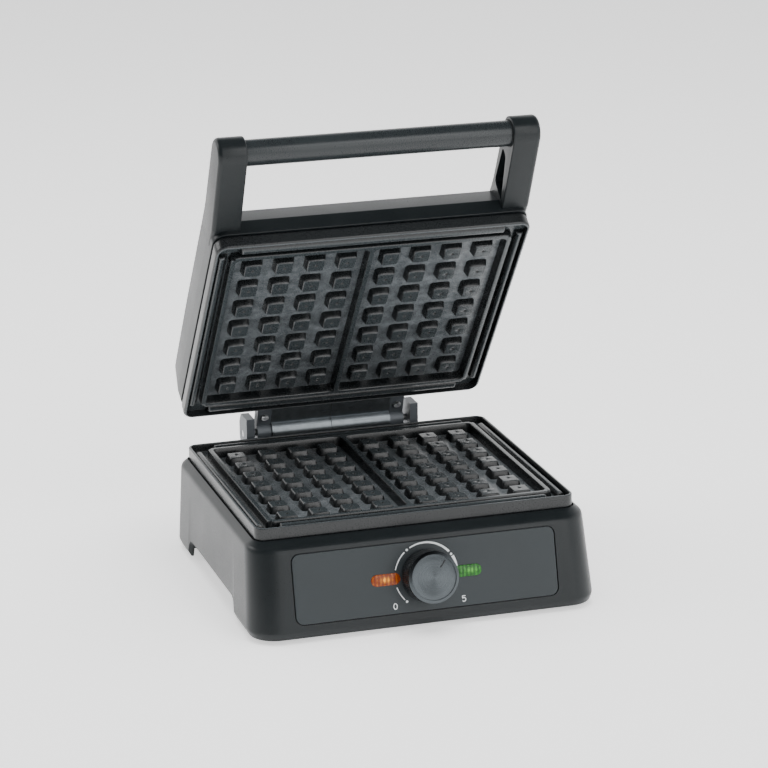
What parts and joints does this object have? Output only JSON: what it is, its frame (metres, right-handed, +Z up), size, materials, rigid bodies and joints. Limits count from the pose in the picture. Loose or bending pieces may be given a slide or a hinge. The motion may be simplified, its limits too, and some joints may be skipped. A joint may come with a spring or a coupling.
{
  "type": "waffle maker",
  "caption": "Table waffle maker with a hinged lid, twin rectangular waffle wells with square pegs, a bar handle and a sloping front with a thermostat knob.",
  "frame": {"origin": "on the table under the centre of the lower plate, which is within 3 mm of the middle of the whole object's footprint with the lid as stored", "axes": "+X to the object's right seen from the front, +Y to the hinge at the back, +Z up"},
  "size_m": [0.269, 0.2984, 0.3585],
  "materials": {
    "housing": "satin anthracite heat-resistant plastic",
    "dark_plastic": "matte black plastic",
    "frame": "satin dark grey heat-resistant plastic",
    "non_stick": "cast aluminium with dark non-stick coating",
    "panel": "satin anthracite anodised sheet",
    "amber": "clear amber moulding",
    "green": "clear green moulding",
    "lamp_glass": "clear glass glow lamp",
    "light_plastic": "natural nylon",
    "porcelain": "unglazed steatite",
    "rubber": "soft black rubber",
    "steel": "zinc-plated steel",
    "element": "heat-stained steel",
    "hinge_steel": "dark satin coated steel",
    "knuckle": "satin grey cast aluminium",
    "bar": "anthracite satin coated tube",
    "knob": "matte black ribbed plastic",
    "knob_cap": "turned anthracite aluminium"
  },
  "bodies": {
    "base": {"base_housing": "housing", "bottom_cover": "dark_plastic", "feet": "rubber", "cover_screws": "steel", "front_panel": "panel", "amber_window": "amber", "green_window": "green", "amber_lamp": "lamp_glass", "green_lamp": "lamp_glass", "lamp_holders": "light_plastic", "thermostat_body": "porcelain", "thermostat_bracket": "steel", "thermostat_nut": "steel", "lower_frame": "frame", "lower_frame_screws": "steel", "lower_plate": "non_stick", "lower_element": "element", "lower_pan": "steel", "lower_pan_screws": "steel", "cord_gland": "rubber", "terminal_block": "porcelain", "hinge_bracket": "hinge_steel", "bracket_screws": "steel", "hinge_pin": "steel"},
    "lid": {"lid_shell": "housing", "upper_frame": "frame", "upper_frame_screws": "steel", "upper_plate": "non_stick", "upper_element": "element", "upper_pan": "steel", "upper_pan_screws": "steel", "knuckle_left": "knuckle", "knuckle_right": "knuckle", "clamp_left": "hinge_steel", "clamp_right": "hinge_steel", "clamp_screws": "steel", "handle_arm_left": "housing", "handle_arm_right": "housing", "handle_bar": "bar", "bar_plugs": "dark_plastic", "handle_screws": "steel"},
    "knob": {"knob_spindle": "steel", "knob_body": "knob", "knob_cap": "knob_cap"}
  },
  "joints": [
    {"name": "lid_hinge", "type": "hinge", "parent": "base", "child": "lid", "pos_m": [0, 0.1369, 0.0798], "axis": [-1, 0, 0], "range_deg": [-52, 50]},
    {"name": "knob_turn", "type": "hinge", "parent": "base", "child": "knob", "pos_m": [0, -0.12556, 0.03926], "axis": [0, 0.9709, -0.2394], "range_deg": [-173, 97]}
  ]
}
